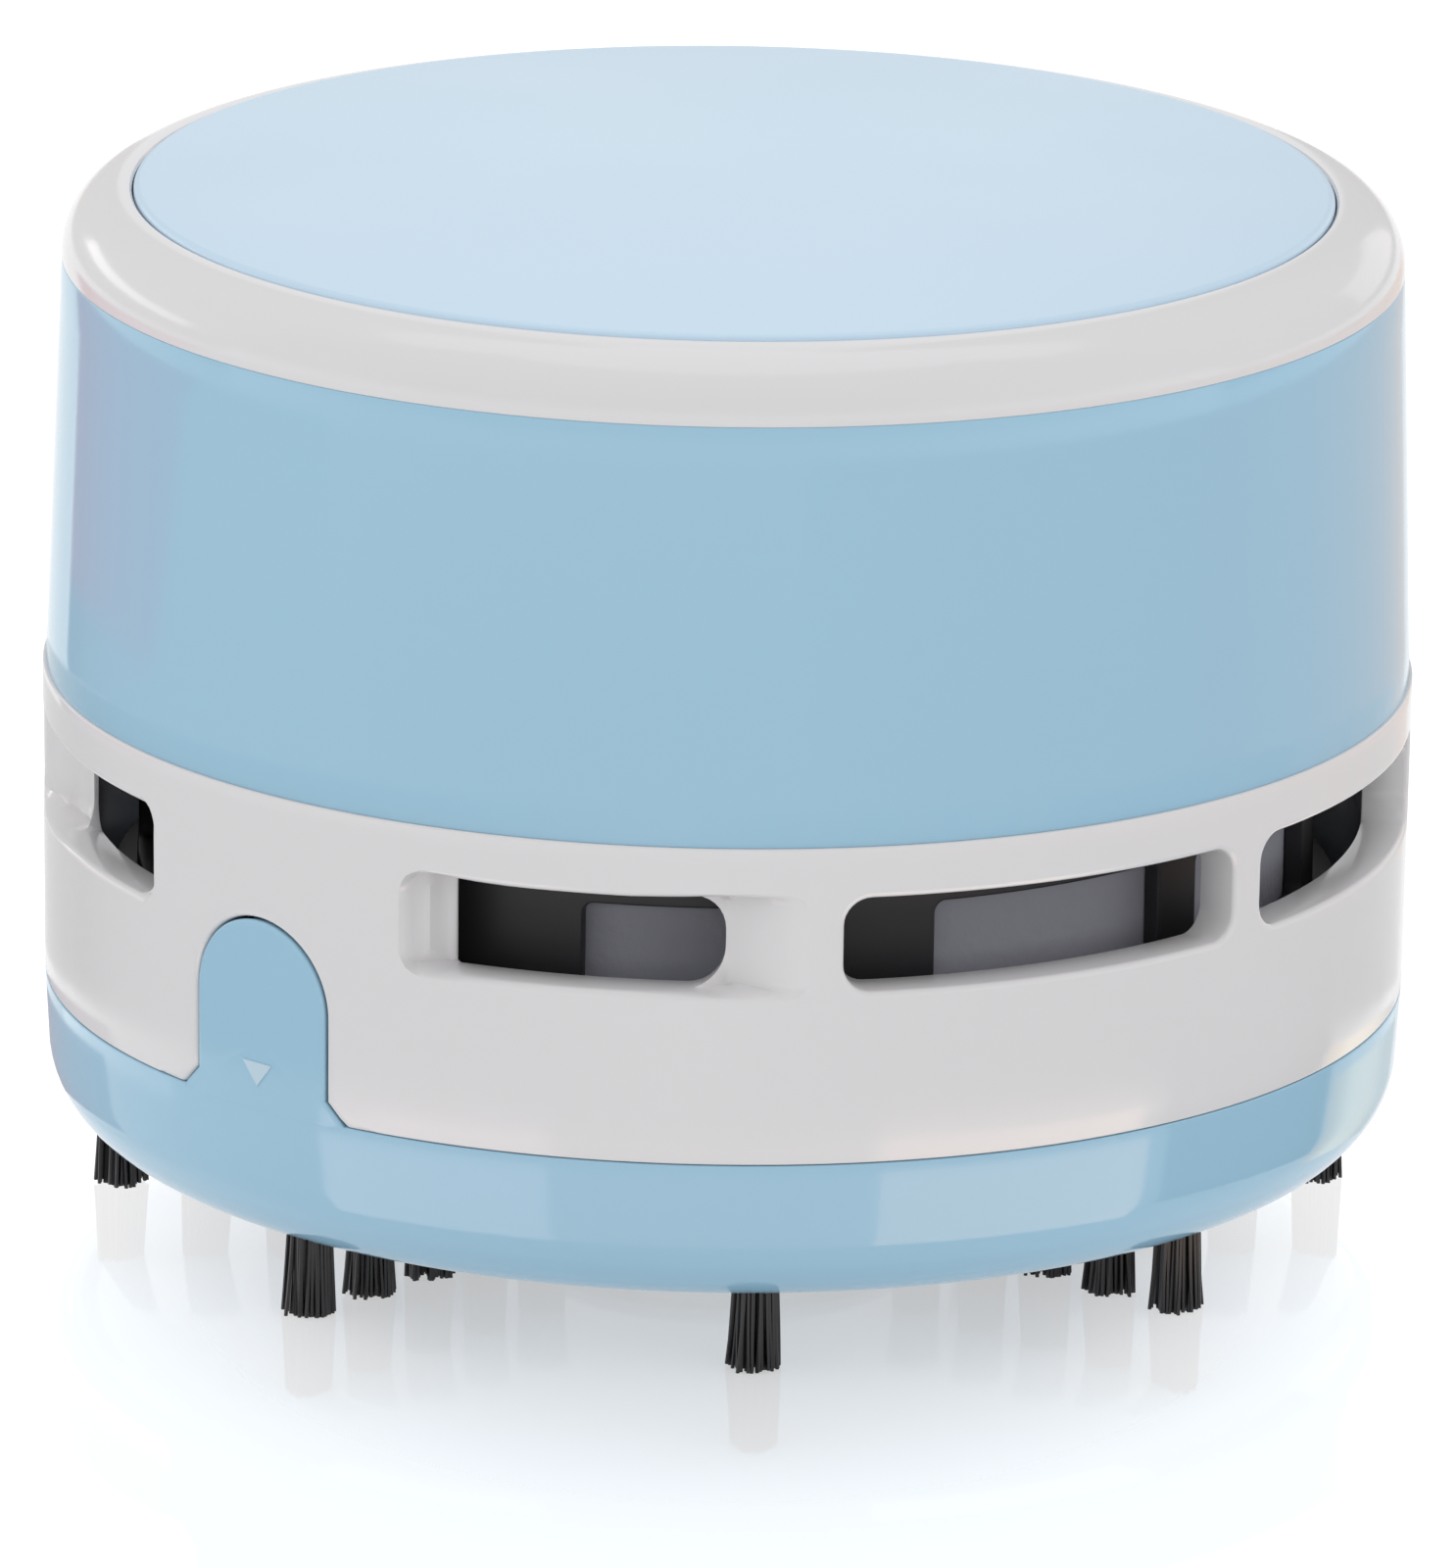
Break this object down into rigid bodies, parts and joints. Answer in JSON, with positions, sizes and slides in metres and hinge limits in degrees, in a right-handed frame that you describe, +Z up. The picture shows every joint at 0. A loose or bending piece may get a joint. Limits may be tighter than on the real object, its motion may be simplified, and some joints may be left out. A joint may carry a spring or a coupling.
{
  "type": "desktop vacuum cleaner",
  "caption": "Round battery desk vacuum with brush tufts under a dust cup, two press tabs, a slotted air band, a tapered shell and a flat battery lid.",
  "frame": {"origin": "on the fan's axis, in the plane of the bristle tips", "axes": "+Z up along the fan's axis, -Y to the front release tab, +Y to the switch"},
  "size_m": [0.085, 0.085, 0.0642],
  "materials": {
    "body_blue": "glossy",
    "trim_white": "glossy",
    "lid_pale": "fine matt texture",
    "nozzle_black": "glossy",
    "seal_rubber": "matt",
    "bristle_black": "soft bristle",
    "filter_grey": "felted cloth",
    "chassis_black": "satin",
    "switch_white": "satin",
    "fan_plastic": "satin",
    "cell_jacket": "plain bare jacket",
    "contact_nickel": "nickel plated",
    "motor_steel": "plated",
    "magnet_black": "sintered",
    "copper": "enamelled copper",
    "bush_bronze": "sintered bronze",
    "screw_steel": "zinc plated",
    "wire_red": "insulation",
    "wire_black": "insulation"
  },
  "bodies": {
    "base": {"dust_tray": "body_blue", "suction_nozzle": "nozzle_black", "tray_seal": "seal_rubber", "brush_row_000": "bristle_black", "brush_row_045": "bristle_black", "brush_row_090": "bristle_black", "brush_row_135": "bristle_black", "brush_row_180": "bristle_black", "brush_row_225": "bristle_black", "brush_row_270": "bristle_black", "brush_row_315": "bristle_black"},
    "push_tab_front": {"push_tab_front": "body_blue"},
    "push_tab_rear": {"push_tab_rear": "body_blue"},
    "filter": {"filter_cage": "nozzle_black", "filter_cloth": "filter_grey"},
    "fan": {"motor_shaft": "motor_steel", "armature_core": "motor_steel", "armature_windings": "copper", "commutator": "copper", "impeller": "fan_plastic"},
    "switch": {"switch_knob": "switch_white", "switch_slider": "switch_white"},
    "lid": {"battery_lid": "lid_pale"},
    "housing": {"vent_band": "trim_white", "upper_shell": "body_blue", "top_ring": "trim_white", "motor_plate": "chassis_black", "battery_cradle": "chassis_black", "battery_cell_left": "cell_jacket", "battery_cell_right": "cell_jacket", "contact_bridge": "contact_nickel", "contact_positive": "contact_nickel", "contact_negative": "contact_nickel", "contact_springs": "contact_nickel", "motor_can": "motor_steel", "motor_end_cap": "chassis_black", "motor_bush": "bush_bronze", "motor_magnets": "magnet_black", "motor_brushes": "copper", "motor_terminals": "contact_nickel", "switch_case": "chassis_black", "switch_terminals": "contact_nickel", "chassis_screws": "screw_steel", "wire_positive": "wire_red", "wire_negative": "wire_black", "wire_switched": "wire_red"}
  },
  "joints": [
    {"name": "housing_lift", "type": "slide", "parent": "base", "child": "housing", "axis": [0, 0, 1], "range_m": [0, 0.045]},
    {"name": "filter_lift", "type": "slide", "parent": "base", "child": "filter", "axis": [0, 0, 1], "range_m": [0, 0.0225]},
    {"name": "front_tab_press", "type": "hinge", "parent": "base", "child": "push_tab_front", "pos_m": [0, -0.0403, 0.0142], "axis": [-1, 0, 0], "range_deg": [0, 4], "stiffness_Nm_per_rad": 0.14},
    {"name": "rear_tab_press", "type": "hinge", "parent": "base", "child": "push_tab_rear", "pos_m": [0, 0.0403, 0.0142], "axis": [1, 0, 0], "range_deg": [0, 4], "stiffness_Nm_per_rad": 0.14},
    {"name": "fan_spin", "type": "hinge", "parent": "housing", "child": "fan", "pos_m": [0, 0, 0.035], "axis": [0, 0, 1], "continuous": true},
    {"name": "switch_slide", "type": "slide", "parent": "housing", "child": "switch", "axis": [1, 0, 0], "range_m": [0, 0.004]},
    {"name": "lid_lift", "type": "slide", "parent": "housing", "child": "lid", "axis": [0, 0, 1], "range_m": [0, 0.03]}
  ],
  "couplings": [
    {"joint": "filter_lift", "follows": "housing_lift", "ratio": 0.5}
  ]
}
